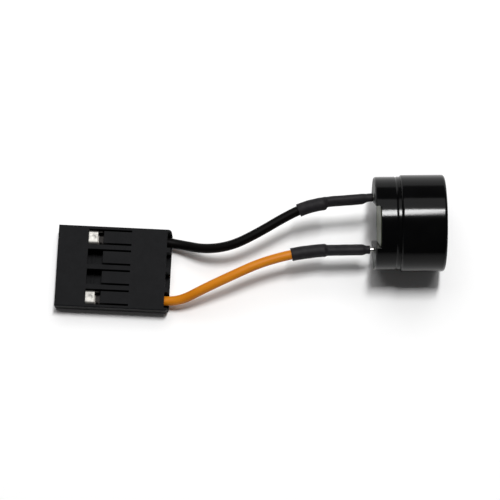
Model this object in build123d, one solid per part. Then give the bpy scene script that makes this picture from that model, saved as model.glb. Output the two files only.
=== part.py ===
from build123d import *
import os
from math import atan2, cos, degrees, radians, sin, tan

# Case speaker: a small magnetic buzzer on two short leads that end in a four-way
# crimp housing. All lengths are millimetres, all angles degrees.
#
# Working frame: the origin is on the surface that the part lies on, below the
# middle of the housing's wire face. +X runs from the housing towards the buzzer,
# +Y from way 4 towards way 1, +Z up. At the end every piece is moved so that the
# origin is at the centre of the box of the rigid pieces, still on the surface.

# --- Connector housing -------------------------------------------------------
pitch = 2.54                # way to way
ways = 4
housing_length = 14.2
housing_width = 10.3
housing_height = 2.54
housing_edge = 0.1          # bevel on the long edges
wire_corner = 0.5           # rounded corners at the wire face
roof = 0.32                 # wall on the latch side
floor = 0.32                # wall on the side that it lies on
front_wall = 0.9            # wall at the mating face
cavity_width = 1.95
post_hole = 1.0             # square entry for a header post
lead_in = 0.3               # depth and reach of the entry's 45 degree lead-in
window_start = 3.8          # mating face to window
window_length = 1.9
tongue_length = 3.5
tongue_width = 1.5
catch_depth = 0.25          # nib under the tongue's tip
catch_length = 0.9
catch_width = 1.1
rib_height = 0.1            # cross rib on each cavity's floor, under the window
rib_width = 0.38
rib_offset = 0.42           # window edge to rib
roof_relief = 0.55          # each roof stops short of the wire face

# --- Crimp contact -----------------------------------------------------------
sheet = 0.2                 # folded strip
contact_clearance = 0.04
contact_width = 1.75
contact_top = 2.12          # height of the box's top over the surface
contact_length = 4.0        # box, mating end to rear edge
contact_bend = 0.36         # outer radius of the box's folds
cheek_length = 0.48         # level side walls behind the box
cheek_slope = 1.0           # length over which they come down
cheek_low = 1.05            # height that they come down to
ear_gap = 0.2               # box to the ear that the catch holds
ear_reach = 0.3             # the ear's width, from the outside of its cheek
dimple_radius = 0.35        # dent in the box's top, below the window
dimple_depth = 0.05
leaf_width = 0.9            # spring leaf inside the box
leaf_rise = 0.3
leaf_foot = 0.5             # flat end that is joined to the box's floor
leaf_sheet = 0.12
strip_crimp_gap = 0.3
core_crimp_start = 7.0      # mating face to conductor crimp
core_crimp_length = 2.4
core_crimp_width = 1.3
core_crimp_bend = 0.25      # rounding of its lower corners
core_crimp_lobe = 0.35      # radius of each of the two rolls over the conductor
lobe_rise = 0.15            # middle of a roll over the conductor's axis
jacket_crimp_start = 9.9    # mating face to insulation crimp
jacket_crimp_length = 2.0
crimp_seam = 0.12           # slit along the top of the insulation crimp
seam_slant = 12.0

# --- Leads -------------------------------------------------------------------
lead_diameter = 1.2
core_diameter = 0.38        # tinned strands
core_fit = 0.01             # radial room of the conductor in its bore
crimp_fit = 0.02            # radial room of the insulation in its crimp
lead_height = 1.27          # axis over the surface, inside the housing
front_strip = 2.9           # bare conductor at the contact
arc_share = 0.45            # tangent length of an arc, of the shorter run
slight_bend = 0.01          # sideways step that keeps two runs of a route from being one

# --- Buzzer ------------------------------------------------------------------
cap_radius = 6.0
cap_length = 5.55
cap_wall = 0.6
cap_front = 0.9             # wall with the sound hole
cap_edge = 0.35             # rounding of the front
seam_round = 0.3            # rounding of the rear, at the seam
sound_hole = 1.25           # radius
hole_edge = 0.15
case_step = 0.2             # the base's outside is this much inside the cap's
base_length = 3.15          # lands included
groove_behind = 0.35        # seam to the fine groove round the base
groove_width = 0.25
groove_depth = 0.07
spigot_wall = 0.35          # of the base's rim that the cap goes over
base_floor = 0.6
base_edge = 0.15
land_height = 0.7
channel_width = 5.2         # between the two lands
seal_thickness = 0.1        # resin on the channel's floor
seal_low = -3.4             # its ends, from the buzzer's axis
seal_high = 4.6
seal_gap = 0.1              # to each land
seal_corner = 0.8
seat_height = 5.5           # land face to the diaphragm's seat
fit = 0.05                  # radial room of a piece that drops into another
pin_pitch = 6.5
pin_radius = 0.3
pin_length = 5.8            # outside, from the land face
pin_stub = 0.4              # inside, past the board
pin_straight = 0.2          # outside, before the lean
lean_black = 4.5            # towards the other pin
lean_orange = -0.5
board_thickness = 0.6
yoke_thickness = 0.7
yoke_clearance = 0.45       # round each pin
core_radius = 1.0
air_gap = 0.3               # pole to diaphragm
coil_radius = 2.45
coil_length = 2.3
magnet_wall = 0.9
magnet_gap = 0.3            # magnet to diaphragm
diaphragm_thickness = 0.08
armature_radius = 1.9
armature_thickness = 0.2
joint_foot = 0.6            # radius of the solder at the board
joint_height = 0.28
tail_radius = 0.05          # ends of the winding

# --- Soldered joint and sleeve -----------------------------------------------
lap_room = 0.02             # between the pin and the conductor beside it
lap_turn = 14.0             # the conductor lies below its pin, this much towards the other lead
lap_length = 4.2
lap_past = 0.6              # joint's end to the route's first point over the pin
lap_within = 0.8            # and to its second point, inside the joint
lap_inset = 0.1             # pin's tip beyond the solder
lap_beyond = 0.4            # bare conductor between the solder and the insulation
cover_black = 0.1           # solder over the pin and the conductor
cover_orange = 0.17
sleeve_wall = 0.2
sleeve_room = 0.02
sleeve_taper = 0.7          # from the solder's section to the pin's
sleeve_stations = 6         # sections along the thick end
sleeve_start_black = -0.13  # along the pin: against the buzzer
sleeve_start_orange = 0.25  # along the pin: short of the buzzer
thick_black = 3.35          # stretch over the lead's insulation
thick_orange = 4.15

# --- Where the buzzer lies ---------------------------------------------------
buzzer_ahead = 25.05        # wire face to the middle of the land face
buzzer_aside = 6.45
buzzer_turn = 3.2           # about the vertical
buzzer_roll = 16.0          # about its own axis: the black lead's pin is higher

black, orange = 1, -1       # side of the middle that each lead is on


# --- Helpers -----------------------------------------------------------------
pieces = {}
cord_names = []


def keep(name, solid, cord=False):
    """Store one finished piece under its node name."""
    pieces[name] = solid
    if cord:
        cord_names.append(name)


def block(low, high):
    """A box from its lowest to its highest corner."""
    size = [b - a for a, b in zip(low, high)]
    middle = [(a + b) / 2 for a, b in zip(low, high)]
    return Pos(*middle) * Box(*size)


def turned(*points):
    """A solid of revolution about X from a closed outline of (x, radius)."""
    return revolve(make_face(Polyline(*points, close=True)), Axis.X)


def ring(start, end, outer, inner=0.0):
    """A disc, or a ring if it has a bore, about X."""
    return turned((start, inner), (start, outer), (end, outer), (end, inner))


def rod(start, end, radius, side_way=0.0):
    """A round rod along X, moved to one side."""
    return Pos(0, side_way, 0) * ring(start, end, radius)


def way_y(number):
    """The middle of a way; way 1 is on the +Y side."""
    return ((ways + 1) / 2 - number) * pitch


def lead_y(side):
    """The middle of the way that a lead is in: the first or the last."""
    return way_y(1) if side == black else way_y(ways)


def from_mating_face(distance):
    """X of a place that is given from the mating face."""
    return distance - housing_length


def side_name(side):
    return "black" if side == black else "orange"


# --- Connector housing -------------------------------------------------------
def cavity(y):
    """Everything that one way takes out of the housing."""
    half = cavity_width / 2
    top = housing_height - roof
    window_x = from_mating_face(window_start)
    window_end = window_x + window_length
    root_x = window_end + tongue_length
    tube = block((from_mating_face(front_wall), y - half, floor), (0, y + half, top))
    relief = block((-roof_relief, y - half, top), (0, y + half, housing_height))
    opening = block((window_x, y - half, top), (root_x, y + half, housing_height))
    tongue = block((window_end, y - tongue_width / 2, top),
                   (root_x, y + tongue_width / 2, housing_height))
    mating_plane = Plane((-housing_length, y, (floor + top) / 2), x_dir=(0, 1, 0), z_dir=(1, 0, 0))
    entry = extrude(mating_plane * Rectangle(post_hole, post_hole), amount=front_wall)
    wide = post_hole + 2 * lead_in
    funnel = extrude(mating_plane * Rectangle(wide, wide), amount=lead_in, taper=45)
    return tube + relief + (opening - tongue) + entry + funnel


def catch(y):
    """The nib under a tongue's tip: upright towards the box, sloping behind."""
    tip = from_mating_face(window_start + window_length)
    under = housing_height - roof
    side = Plane((0, y - catch_width / 2, 0), x_dir=(1, 0, 0), z_dir=(0, -1, 0))
    outline = Polyline((tip, under), (tip, under - catch_depth), (tip + catch_length, under), close=True)
    return extrude(side * make_face(outline), amount=-catch_width)


def floor_rib(y):
    """The low rib across a cavity's floor, seen through the window."""
    start = from_mating_face(window_start + rib_offset)
    half = cavity_width / 2
    return block((start, y - half, floor), (start + rib_width, y + half, floor + rib_height))


def connector_housing():
    body = block((-housing_length, -housing_width / 2, 0), (0, housing_width / 2, housing_height))
    uprights = body.edges().filter_by(Axis.Z).group_by(Axis.X)[-1]
    body = fillet(uprights, wire_corner)
    body = chamfer(body.edges().filter_by(Axis.X), housing_edge)
    rows = [way_y(number) for number in range(1, ways + 1)]
    for y in rows:
        body -= cavity(y)
    for y in rows:
        body += catch(y)
        body += floor_rib(y)
    return body


# --- Crimp contact -----------------------------------------------------------
def folded_box(y, low, front):
    """Box, cheeks and ear of a contact, folded from one strip."""
    rear = front + contact_length
    cheek_end = rear + cheek_length
    slope_end = cheek_end + cheek_slope
    fold_top = contact_top - contact_bend
    left, right = y - contact_width / 2, y + contact_width / 2
    height = contact_top - low
    section = RectangleRounded(contact_width, height, contact_bend)
    section -= RectangleRounded(contact_width - 2 * sheet, height - 2 * sheet, contact_bend - sheet)
    across = Plane((front, y, low + height / 2), x_dir=(0, 1, 0), z_dir=(1, 0, 0))
    shell = extrude(across * section, amount=slope_end - front)
    shell -= block((rear, left, fold_top), (rear + ear_gap, right, contact_top))
    shell -= block((rear + ear_gap, left + ear_reach, fold_top), (cheek_end, right, contact_top))
    shell -= block((cheek_end, left, fold_top), (slope_end, right, contact_top))
    side = Plane((0, left, 0), x_dir=(1, 0, 0), z_dir=(0, -1, 0))
    above = Polyline((cheek_end, fold_top), (slope_end, fold_top), (slope_end, cheek_low), close=True)
    shell -= extrude(side * make_face(above), amount=-contact_width)
    seen = from_mating_face(window_start)
    ball = (dimple_radius ** 2 + dimple_depth ** 2) / (2 * dimple_depth)
    return shell - Pos((seen + rear) / 2, y, contact_top + ball - dimple_depth) * Sphere(ball)


def spring_leaf(y, low, front):
    """The leaf that presses a header post against the box's top."""
    rear = front + contact_length
    bend = rear - leaf_foot
    tip = (front + rear) / 2
    line = Polyline((rear, low), (rear, low + leaf_sheet), (bend, low + leaf_sheet),
                    (tip, low + leaf_rise + leaf_sheet), (tip, low + leaf_rise), (bend, low), close=True)
    side = Plane((0, y - leaf_width / 2, 0), x_dir=(1, 0, 0), z_dir=(0, -1, 0))
    return extrude(side * make_face(line), amount=-leaf_width)


def conductor_crimp(y, low, start):
    """Two wings of the strip rolled over and down onto the conductor."""
    lobe_height = lead_height + lobe_rise - low
    trough = Pos(0, lobe_height / 2) * Rectangle(core_crimp_width, lobe_height)
    section = fillet(trough.vertices().group_by(Axis.Y)[0], core_crimp_bend)
    lobe_aside = core_crimp_width / 2 - core_crimp_lobe
    for side in (1, -1):
        section += Pos(side * lobe_aside, lobe_height) * Circle(core_crimp_lobe)
    across = Plane((start, y, low), x_dir=(0, 1, 0), z_dir=(1, 0, 0))
    bore = ring(start, start + core_crimp_length, core_diameter / 2 + core_fit)
    return extrude(across * section, amount=core_crimp_length) - Pos(0, y, lead_height) * bore


def insulation_crimp(y, start):
    """Two wings of the strip bent round the insulation, with a slit on top."""
    bore = lead_diameter / 2 + crimp_fit
    band = ring(start, start + jacket_crimp_length, bore + sheet, bore)
    slit = Box(2 * jacket_crimp_length, crimp_seam, lead_diameter)
    slit = Pos(start + jacket_crimp_length / 2, 0, bore + sheet / 2) * Rot(0, 0, seam_slant) * slit
    return Pos(0, y, lead_height) * (band - slit)


def crimp_contact(side):
    """Folded contact: box, cheeks, conductor crimp and insulation crimp."""
    y = lead_y(side)
    low = floor + rib_height + contact_clearance
    front = from_mating_face(front_wall + contact_clearance)
    slope_end = front + contact_length + cheek_length + cheek_slope
    core_start = from_mating_face(core_crimp_start)
    jacket_start = from_mating_face(jacket_crimp_start)
    half = core_crimp_width / 2
    strip = block((slope_end - strip_crimp_gap, y - half, low), (jacket_start, y + half, low + sheet))
    return (folded_box(y, low, front) + spring_leaf(y, low + sheet, front) + strip
            + conductor_crimp(y, low, core_start) + insulation_crimp(y, jacket_start))


# --- Buzzer ------------------------------------------------------------------
buzzer_place = (Pos(buzzer_ahead, buzzer_aside, cap_radius)
                * Rot(0, 0, buzzer_turn) * Rot(buzzer_roll, 0, 0))

cap_bore = cap_radius - cap_wall
base_radius = cap_radius - case_step
spigot_radius = cap_bore - fit
base_bore = spigot_radius - spigot_wall
inner_radius = base_bore - fit
magnet_bore = inner_radius - magnet_wall
floor_top = land_height + base_floor
board_top = floor_top + board_thickness
yoke_top = board_top + yoke_thickness


def buzzer_base():
    """Lower case: floor with two lands, skirt, and a spigot that the cap goes over."""
    groove_end = base_length - groove_behind
    body = turned((land_height, 0), (land_height, base_radius), (groove_end - groove_width, base_radius),
                  (groove_end - groove_width / 2, base_radius - groove_depth), (groove_end, base_radius),
                  (base_length, base_radius), (base_length, spigot_radius), (seat_height, spigot_radius),
                  (seat_height, base_bore), (floor_top, base_bore), (floor_top, 0))
    lands = turned((0, 0), (0, base_radius - base_edge), (base_edge, base_radius),
                   (land_height, base_radius), (land_height, 0))
    reach = 2 * base_radius
    lands -= block((0, -channel_width / 2, -reach), (land_height, channel_width / 2, reach))
    body += lands
    for side in (black, orange):
        body -= rod(0, floor_top, pin_radius, side * pin_pitch / 2)
    return body


def buzzer_cap():
    """Upper case with the sound hole in its front."""
    start = base_length
    end = start + cap_length
    shell = turned((start, cap_bore), (start, cap_radius), (end, cap_radius), (end, sound_hole),
                   (end - cap_front, sound_hole), (end - cap_front, cap_bore))
    rear = shell.edges().filter_by(GeomType.CIRCLE).group_by(Axis.X)[0].sort_by(SortBy.RADIUS)
    shell = fillet(rear[-1], seam_round)
    rim = shell.edges().filter_by(GeomType.CIRCLE).group_by(Axis.X)[-1].sort_by(SortBy.RADIUS)
    shell = fillet(rim[-1], cap_edge)
    mouth = shell.edges().filter_by(GeomType.CIRCLE).group_by(Axis.X)[-1].sort_by(SortBy.RADIUS)
    return chamfer(mouth[0], hole_edge)


def resin_seal():
    """Thin layer of resin on the floor of the channel between the lands."""
    place = Plane((land_height, 0, (seal_low + seal_high) / 2), x_dir=(0, 1, 0), z_dir=(-1, 0, 0))
    outline = RectangleRounded(channel_width - 2 * seal_gap, seal_high - seal_low, seal_corner)
    return extrude(place * outline, amount=seal_thickness)


def terminal_board():
    board = ring(floor_top, board_top, inner_radius)
    for side in (black, orange):
        board -= rod(floor_top, board_top, pin_radius, side * pin_pitch / 2)
    return board


def yoke_plate():
    plate = ring(board_top, yoke_top, inner_radius, core_radius)
    for side in (black, orange):
        plate -= rod(board_top, yoke_top, pin_radius + yoke_clearance, side * pin_pitch / 2)
    return plate


def lean(side):
    return lean_black if side == black else lean_orange


def pin_plane(side, along=0.0):
    """Plane across the leaning stretch of a pin, in the buzzer's own frame.

    Its normal points outwards along the pin, and its x direction from the conductor to the pin.
    """
    angle = radians(lean(side))
    outwards = Vector(-cos(angle), -side * sin(angle), 0)
    bend = Vector(-pin_straight, side * pin_pitch / 2, 0)
    turn = radians(buzzer_roll + side * lap_turn)
    upwards = Vector(0, sin(turn), cos(turn))
    upwards -= outwards * upwards.dot(outwards)
    return Plane(bend + outwards * along, x_dir=upwards.normalized(), z_dir=outwards)


def pin_reach():
    """Length of the leaning stretch of a pin."""
    return pin_length - pin_straight


def terminal_pin(side):
    """Tinned pin: straight through the base and the board, then leaning."""
    straight = rod(-pin_straight, board_top + pin_stub, pin_radius, side * pin_pitch / 2)
    knuckle = Pos(-pin_straight, side * pin_pitch / 2, 0) * Sphere(pin_radius)
    leaning = extrude(pin_plane(side) * Circle(pin_radius), amount=pin_reach())
    return straight + knuckle + leaning


def board_joint(side):
    """Solder cone round a pin's end on the board."""
    cone = turned((board_top, pin_radius), (board_top, joint_foot),
                  (board_top + joint_height, pin_radius + tail_radius),
                  (board_top + joint_height, pin_radius))
    return Pos(0, side * pin_pitch / 2, 0) * cone


def coil_tail(side):
    """One end of the winding, from the coil's side down to its board joint."""
    start = (yoke_top + 3 * tail_radius, coil_radius + tail_radius)
    foot = pin_pitch / 2 - joint_foot
    end = (board_top + tail_radius, foot)
    line = Line((start[0], side * start[1], 0), (end[0], side * end[1], 0))
    return sweep(Plane(line @ 0, z_dir=line % 0) * Circle(tail_radius), path=line)


# --- Lead routes -------------------------------------------------------------
def lap_point(side, along, drop):
    """A point beside a pin, in the working frame."""
    plane = pin_plane(side, along)
    local = plane.origin - plane.x_dir * drop
    return (buzzer_place * Pos(local)).position


lap_drop = pin_radius + core_diameter / 2 + lap_room
lap_end = pin_reach() - lap_inset
lap_ends = [(lap_end + lap_past, lap_drop), (lap_end - lap_within, lap_drop - slight_bend),
            (lap_end - lap_length, lap_drop)]
rear_strip = lap_length + lap_beyond


def housing_points(side):
    """The straight start of a lead, in the contact's crimps."""
    y = lead_y(side)
    return [(-7.4, y, lead_height - slight_bend / 2), (-4.2, y, lead_height),
            (-1.1, y - side * slight_bend, lead_height + slight_bend)]


# Each free point: share of the way to the buzzer, then Y and Z.
free_points = {
    black: [(0.06, 3.4, 1.5), (0.175, 2.88, 2.35), (0.305, 3.33, 3.29),
            (0.435, 5.01, 4.2), (0.555, 6.86, 5.06), (0.65, 8.07, 5.71)],
    orange: [(0.06, -3.67, 1.6), (0.175, -2.11, 2.49), (0.305, -0.5, 3.22),
             (0.435, 1.08, 3.87), (0.555, 2.07, 4.32), (0.65, 2.62, 4.62)],
}


def route(side):
    free = [(share * buzzer_ahead, y, z) for share, y, z in free_points[side]]
    lap = [tuple(lap_point(side, along, drop)) for along, drop in lap_ends]
    return housing_points(side) + free + lap


def lead_path(side):
    """Straight runs joined by arcs as large as the runs allow, and their radii."""
    points = [Vector(*point) for point in route(side)]
    runs = [b - a for a, b in zip(points, points[1:])]
    radii = [arc_share * min(a.length, b.length) / tan(radians(a.get_angle(b) / 2))
             for a, b in zip(runs, runs[1:])]
    print(side_name(side), "lead radii:", " ".join(f"{radius:.1f}" for radius in radii))
    return FilletPolyline(*points, radius=radii).wire()


def stretch(path, start, end):
    """The part of a path between two lengths along it."""
    return path.trim(start / path.length, end / path.length)


def tube(path, outer, inner=0.0):
    """A round tube, or a rod if it has no bore, along a path."""
    section = Circle(outer) - Circle(inner) if inner else Circle(outer)
    return sweep(Plane(path @ 0, z_dir=path % 0) * section, path=path)


def leads(side):
    """Conductor and insulation of one lead, and the path that both follow."""
    path = lead_path(side)
    core = tube(path, core_diameter / 2)
    jacket_path = stretch(path, front_strip, path.length - rear_strip)
    jacket = tube(jacket_path, lead_diameter / 2, core_diameter / 2 + core_fit)
    section = 3.141592653589793 * ((lead_diameter / 2) ** 2 - (core_diameter / 2 + core_fit) ** 2)
    print(side_name(side), f"conductor {path.length:.2f} long, insulation {jacket_path.length:.2f} long,",
          f"volume {jacket.volume:.3f} against {section * jacket_path.length:.3f}")
    return core, jacket, path


# --- Soldered joint and sleeve -----------------------------------------------
def lap_oval(side, grow=0.0):
    """Section of the solder round a pin and the conductor below it."""
    cover = cover_black if side == black else cover_orange
    wide = pin_radius + cover
    high = (wide + lap_drop + core_diameter / 2 + cover) / 2
    return Pos(wide - high, 0) * Ellipse(high + grow, wide + grow)


def lap_joint(side, core):
    """Solder that holds the conductor against the pin."""
    plane = pin_plane(side, lap_end - lap_length)
    solid = extrude(plane * lap_oval(side), amount=lap_length)
    return buzzer_place * solid - buzzer_place * terminal_pin(side) - core


def sleeve_sections(side, path, grow):
    """Cross-sections of a sleeve from the buzzer to the lead, larger by grow."""
    start = sleeve_start_black if side == black else sleeve_start_orange
    thick = thick_black if side == black else thick_orange
    over_pin = pin_radius + sleeve_room
    joint_start = lap_end - lap_length
    faces = [buzzer_place * (pin_plane(side, along) * Circle(over_pin + grow))
             for along in (start, joint_start - sleeve_taper)]
    for along in (joint_start, lap_end):
        faces.append(buzzer_place * (pin_plane(side, along) * lap_oval(side, sleeve_room + grow)))
    jacket_end = path.length - rear_strip
    over_lead = lead_diameter / 2 + sleeve_room
    turn = radians(side * lap_turn)
    for step in range(sleeve_stations):
        place = (jacket_end - thick * step / (sleeve_stations - 1)) / path.length
        plane = Plane(path @ place, x_dir=(0, sin(turn), cos(turn)), z_dir=-(path % place))
        faces.append(plane * Circle(over_lead + grow))
    return faces


def shrink_sleeve(side, path):
    """Shrunk sleeve: thin over the soldered pin, thick over the lead's end."""
    outer = loft(Sketch() + sleeve_sections(side, path, sleeve_wall), ruled=True)
    inner = loft(Sketch() + sleeve_sections(side, path, 0.0), ruled=True)
    return outer - inner


# --- Build -------------------------------------------------------------------
keep("connector_housing", connector_housing())
for side in (black, orange):
    name = side_name(side)
    keep(f"crimp_contact_{name}", crimp_contact(side))
    core, jacket, path = leads(side)
    keep(f"lead_{name}_conductor", core, cord=True)
    keep(f"lead_{name}_insulation", jacket, cord=True)
    keep(f"lap_joint_{name}", lap_joint(side, core))
    keep(f"shrink_sleeve_{name}", shrink_sleeve(side, path))
    keep(f"terminal_pin_{name}", buzzer_place * terminal_pin(side))
    keep(f"board_joint_{name}", buzzer_place * board_joint(side))
    keep(f"coil_tail_{name}", buzzer_place * coil_tail(side))

diaphragm_top = seat_height + diaphragm_thickness
keep("buzzer_base", buzzer_place * buzzer_base())
keep("buzzer_cap", buzzer_place * buzzer_cap())
keep("resin_seal", buzzer_place * resin_seal())
keep("terminal_board", buzzer_place * terminal_board())
keep("yoke_plate", buzzer_place * yoke_plate())
keep("pole_core", buzzer_place * ring(board_top, seat_height - air_gap, core_radius))
keep("coil", buzzer_place * ring(yoke_top, yoke_top + coil_length, coil_radius, core_radius + fit))
keep("ring_magnet", buzzer_place * ring(yoke_top, seat_height - magnet_gap, inner_radius, magnet_bore))
keep("diaphragm", buzzer_place * ring(seat_height, diaphragm_top, spigot_radius - fit))
armature_top = diaphragm_top + armature_thickness
keep("armature_disc", buzzer_place * ring(diaphragm_top, armature_top, armature_radius))

boxes = [piece.bounding_box() for name, piece in pieces.items() if name not in cord_names]
middle_x = (min(box.min.X for box in boxes) + max(box.max.X for box in boxes)) / 2
middle_y = (min(box.min.Y for box in boxes) + max(box.max.Y for box in boxes)) / 2
to_frame = Pos(-middle_x, -middle_y, 0)
print(f"working frame to part frame: {-middle_x:.4f} {-middle_y:.4f}")
for side in (black, orange):
    print(side_name(side), "route:", [tuple(round(c, 3) for c in point) for point in route(side)])

os.makedirs("parts", exist_ok=True)
for name, piece in pieces.items():
    export_step(to_frame * piece, f"parts/{name}.step")
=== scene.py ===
"""Case speaker: a small magnetic buzzer on two short leads that end in a four-way crimp housing.

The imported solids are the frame. This script dresses them, and makes the leads and the shrunk
sleeves itself. Lengths are metres in the row frame. The working frame that the leads' points are
given in has its origin on the floor, below the middle of the housing's wire face, with +X towards
the buzzer and +Y towards the black lead's way.
"""

from __future__ import annotations

import logging
import math
from collections.abc import Iterable, Sequence
from dataclasses import dataclass, field
from enum import Enum
from typing import Any

import bmesh
import bpy
from mathutils import Matrix, Vector, noise

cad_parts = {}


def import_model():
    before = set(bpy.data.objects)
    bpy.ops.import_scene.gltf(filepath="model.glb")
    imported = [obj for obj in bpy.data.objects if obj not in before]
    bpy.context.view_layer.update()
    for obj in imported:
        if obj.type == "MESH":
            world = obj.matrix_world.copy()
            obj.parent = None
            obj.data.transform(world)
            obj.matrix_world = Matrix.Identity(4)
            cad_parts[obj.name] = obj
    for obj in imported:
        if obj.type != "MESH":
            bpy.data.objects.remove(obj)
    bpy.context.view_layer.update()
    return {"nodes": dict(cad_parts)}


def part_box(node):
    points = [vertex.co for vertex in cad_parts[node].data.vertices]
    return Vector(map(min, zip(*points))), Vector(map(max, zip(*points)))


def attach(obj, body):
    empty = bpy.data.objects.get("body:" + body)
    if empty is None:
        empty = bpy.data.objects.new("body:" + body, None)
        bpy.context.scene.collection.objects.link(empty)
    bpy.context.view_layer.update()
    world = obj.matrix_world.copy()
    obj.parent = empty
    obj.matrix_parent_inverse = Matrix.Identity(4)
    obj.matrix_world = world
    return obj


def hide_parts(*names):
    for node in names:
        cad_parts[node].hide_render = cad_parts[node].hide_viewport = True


log = logging.getLogger("case_speaker")

MM = 0.001
BUZZER_TURN = math.radians(3.2)
# Spacing of a wave texture's bands at a scale of 1.
WAVE_SPACING = 0.314
# A mix node's two inputs and its output, by number: each kind of value has its own.
MIX_SOCKETS = {"FLOAT": (2, 3, 0), "RGBA": (6, 7, 2)}
LENGTH_ATTRIBUTE = "along"
Colour = tuple[float, float, float]
Point = tuple[float, float, float]
Pair = tuple[float, float]


class Side(Enum):
    """Which lead a piece belongs to; the value is its side of the middle."""

    BLACK = 1
    ORANGE = -1

    @property
    def word(self) -> str:
        """The word that this side's pieces have in their names."""
        return self.name.lower()


# --- Node trees ---
class Nodes:
    """A node tree, with short calls to fill it."""

    def __init__(self, tree: bpy.types.NodeTree) -> None:
        """Take a tree.

        Args:
            tree: The tree that the nodes go into.
        """
        self.tree = tree

    def add(self, kind: str, links: dict[str | int, Any] | None = None, **settings: Any) -> Any:
        """Add one node.

        Args:
            kind: The node's type.
            links: Input name or number to an output socket, or to a plain value.
            settings: Properties of the node.

        Returns:
            The node.
        """
        node = self.tree.nodes.new(kind)
        for key, value in settings.items():
            setattr(node, key, value)
        for key, value in (links or {}).items():
            if isinstance(value, bpy.types.NodeSocket):
                self.tree.links.new(value, node.inputs[key])
            else:
                node.inputs[key].default_value = value
        return node

    def join(self, source: Any, target: bpy.types.Node, key: str | int) -> None:
        """Link a socket to a node that is already there.

        Args:
            source: The output socket.
            target: The node.
            key: Name or number of its input.
        """
        self.tree.links.new(source, target.inputs[key])

    def maths(self, operation: str, *terms: Any) -> Any:
        """The result of one sum.

        Args:
            operation: The sum's kind.
            terms: The numbers, or sockets, that go into it.

        Returns:
            The result socket.
        """
        return self.add("ShaderNodeMath", dict(enumerate(terms)), operation=operation).outputs[0]


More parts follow.
